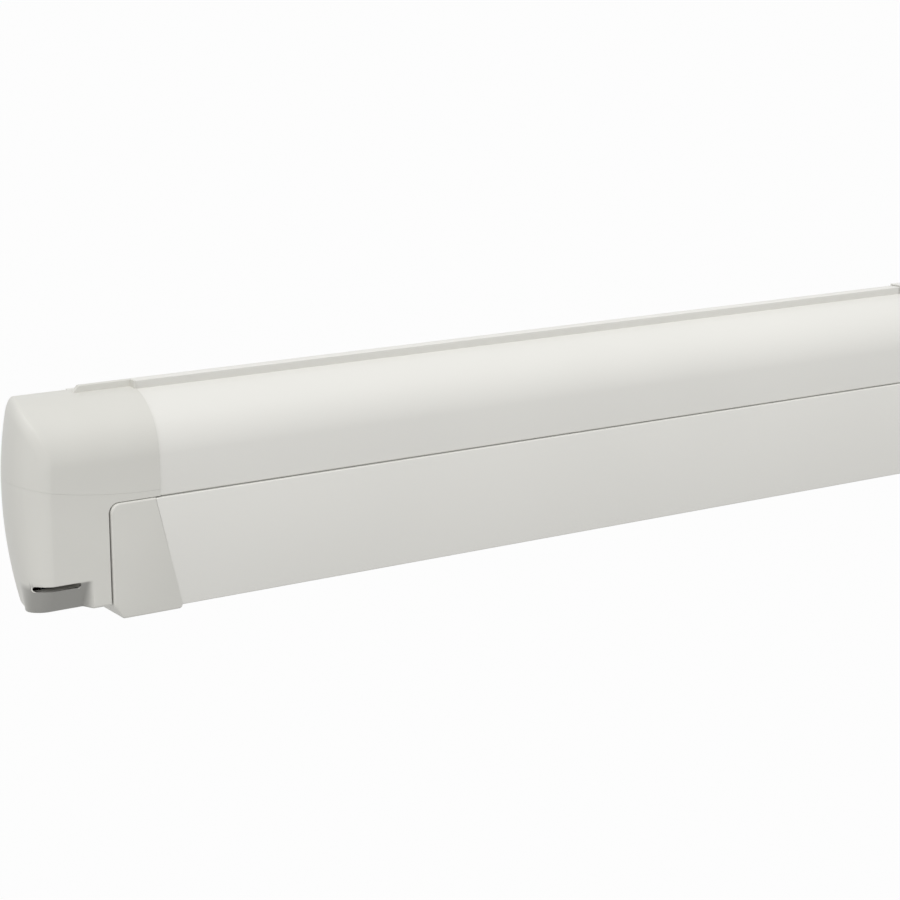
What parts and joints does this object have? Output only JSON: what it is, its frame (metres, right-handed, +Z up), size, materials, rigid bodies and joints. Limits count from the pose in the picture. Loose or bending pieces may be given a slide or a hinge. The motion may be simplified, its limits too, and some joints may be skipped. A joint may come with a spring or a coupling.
{
  "type": "roll out awning",
  "caption": "Closed cassette awning for a camper side wall: lead rail on folding arms, crank driven fabric roller and telescopic legs.",
  "frame": {"origin": "centre of the four inner wall bolts on the wall plane, 4.6 mm above the seam between housing and lead rail", "axes": "+X along the awning to the right seen from the front, +Y into the wall, +Z up"},
  "size_m": [2.995, 0.1325, 0.1906],
  "materials": {
    "white_coat": "warm white powder coat",
    "white_plastic": "warm white moulded",
    "bare_alu": "mill finish",
    "cast_alu": "die cast, coated light grey",
    "steel": "zinc plated",
    "grey_plastic": "dark grey moulded",
    "bush_plastic": "natural",
    "bronze": "machined",
    "seal_rubber": "matt",
    "awning_fabric": "coated woven, grey",
    "keder_cord": "extruded cord"
  },
  "bodies": {
    "cassette": {"housing_profile": "white_coat", "front_seal": "seal_rubber", "left_end_plate": "cast_alu", "right_end_plate": "cast_alu", "left_cap_upper": "white_plastic", "left_cap_lower": "white_plastic", "right_cap_upper": "white_plastic", "right_cap_lower": "white_plastic", "inner_wall_brackets": "white_coat", "outer_wall_brackets": "white_coat", "bracket_lock_screws": "steel", "cap_screws": "steel", "end_plate_screws": "steel", "shoulder_brackets": "cast_alu", "shoulder_pins": "steel", "shoulder_bolts": "steel", "gear_case": "grey_plastic", "gear_cover": "grey_plastic", "roller_bushes": "bush_plastic", "worm_bushes": "bush_plastic"},
    "roller": {"roller_tube": "bare_alu", "drive_plug": "grey_plastic", "idler_plug": "grey_plastic", "worm_wheel": "bronze", "fabric_roll": "awning_fabric", "rear_keder": "keder_cord"},
    "crank": {"worm_shaft": "steel", "crank_eye": "steel"},
    "lead": {"lead_rail": "white_coat", "left_rail_cap": "white_plastic", "right_rail_cap": "white_plastic", "wrist_brackets": "cast_alu", "wrist_pins": "steel", "front_keder": "keder_cord", "leg_hangers": "steel"},
    "fabric": {"fabric_strip": "awning_fabric"},
    "left_upper_arm": {"left_upper_tube": "white_coat", "left_shoulder_knuckle": "cast_alu", "left_elbow_fork": "cast_alu", "left_elbow_pin": "steel", "left_arm_spring": "steel"},
    "left_forearm": {"left_fore_tube": "white_coat", "left_elbow_tongue": "cast_alu", "left_wrist_tongue": "cast_alu"},
    "left_leg": {"left_leg_tube": "white_coat"},
    "left_leg_slider": {"left_leg_inner": "bare_alu"},
    "left_foot": {"left_leg_foot": "grey_plastic"},
    "left_lever": {"left_leg_lever": "grey_plastic"},
    "right_upper_arm": {"right_upper_tube": "white_coat", "right_shoulder_knuckle": "cast_alu", "right_elbow_fork": "cast_alu", "right_elbow_pin": "steel", "right_arm_spring": "steel"},
    "right_forearm": {"right_fore_tube": "white_coat", "right_elbow_tongue": "cast_alu", "right_wrist_tongue": "cast_alu"},
    "right_leg": {"right_leg_tube": "white_coat"},
    "right_leg_slider": {"right_leg_inner": "bare_alu"},
    "right_foot": {"right_leg_foot": "grey_plastic"},
    "right_lever": {"right_leg_lever": "grey_plastic"}
  },
  "joints": [
    {"name": "left_shoulder", "type": "hinge", "parent": "cassette", "child": "left_upper_arm", "pos_m": [-1.335, -0.028, -0.036], "axis": [0, 0.0872, -0.9962], "range_deg": [0, 64]},
    {"name": "left_elbow", "type": "hinge", "parent": "left_upper_arm", "child": "left_forearm", "pos_m": [-0.095, -0.0539, -0.03827], "axis": [0, -0.0872, 0.9962], "range_deg": [0, 128]},
    {"name": "left_wrist", "type": "hinge", "parent": "left_forearm", "child": "lead", "pos_m": [-1.335, -0.0798, -0.04053], "axis": [0, 0.0872, -0.9962], "range_deg": [0, 64]},
    {"name": "right_shoulder", "type": "hinge", "parent": "cassette", "child": "right_upper_arm", "pos_m": [1.335, -0.028, -0.036], "axis": [0, -0.0872, 0.9962], "range_deg": [0, 64]},
    {"name": "right_elbow", "type": "hinge", "parent": "right_upper_arm", "child": "right_forearm", "pos_m": [0.095, -0.0539, -0.03827], "axis": [0, 0.0872, -0.9962], "range_deg": [0, 128]},
    {"name": "roller_spin", "type": "hinge", "parent": "cassette", "child": "roller", "pos_m": [0, -0.083, 0.035], "axis": [1, 0, 0], "range_deg": [-3600, 0]},
    {"name": "crank_spin", "type": "hinge", "parent": "cassette", "child": "crank", "pos_m": [-1.463, -0.108, 0], "axis": [0, 0, 1], "range_deg": [-43200, 0]},
    {"name": "fabric_feed", "type": "slide", "parent": "cassette", "child": "fabric", "axis": [0, -0.9962, -0.0872], "range_m": [0, 2.1998]},
    {"name": "left_leg_swing", "type": "hinge", "parent": "lead", "child": "left_leg", "pos_m": [-1.35, -0.116, -0.08], "axis": [0, 1, 0], "range_deg": [0, 90]},
    {"name": "left_leg_draw", "type": "slide", "parent": "left_leg", "child": "left_leg_slider", "axis": [1, 0, 0], "range_m": [0, 0.98]},
    {"name": "left_foot_tilt", "type": "hinge", "parent": "left_leg_slider", "child": "left_foot", "pos_m": [-0.122, -0.116, -0.08], "axis": [0, 1, 0], "range_deg": [-10, 10]},
    {"name": "left_lever_flip", "type": "hinge", "parent": "left_leg", "child": "left_lever", "pos_m": [-0.164, -0.116, -0.093], "axis": [0, -1, 0], "range_deg": [0, 100]},
    {"name": "right_leg_swing", "type": "hinge", "parent": "lead", "child": "right_leg", "pos_m": [1.35, -0.092, -0.08], "axis": [0, -1, 0], "range_deg": [0, 90]},
    {"name": "right_leg_draw", "type": "slide", "parent": "right_leg", "child": "right_leg_slider", "axis": [-1, 0, 0], "range_m": [0, 0.98]},
    {"name": "right_foot_tilt", "type": "hinge", "parent": "right_leg_slider", "child": "right_foot", "pos_m": [0.122, -0.092, -0.08], "axis": [0, 1, 0], "range_deg": [-10, 10]},
    {"name": "right_lever_flip", "type": "hinge", "parent": "right_leg", "child": "right_lever", "pos_m": [0.164, -0.092, -0.093], "axis": [0, 1, 0], "range_deg": [0, 100]}
  ],
  "couplings": [
    {"joint": "left_elbow", "follows": "left_shoulder", "ratio": 2},
    {"joint": "left_wrist", "follows": "left_shoulder", "ratio": 1},
    {"joint": "right_shoulder", "follows": "left_shoulder", "ratio": 1},
    {"joint": "right_elbow", "follows": "left_shoulder", "ratio": 2},
    {"joint": "roller_spin", "follows": "left_shoulder", "ratio": -56.25},
    {"joint": "crank_spin", "follows": "left_shoulder", "ratio": -675},
    {"joint": "fabric_feed", "follows": "left_shoulder", "m_per_rad": 1.9694}
  ]
}
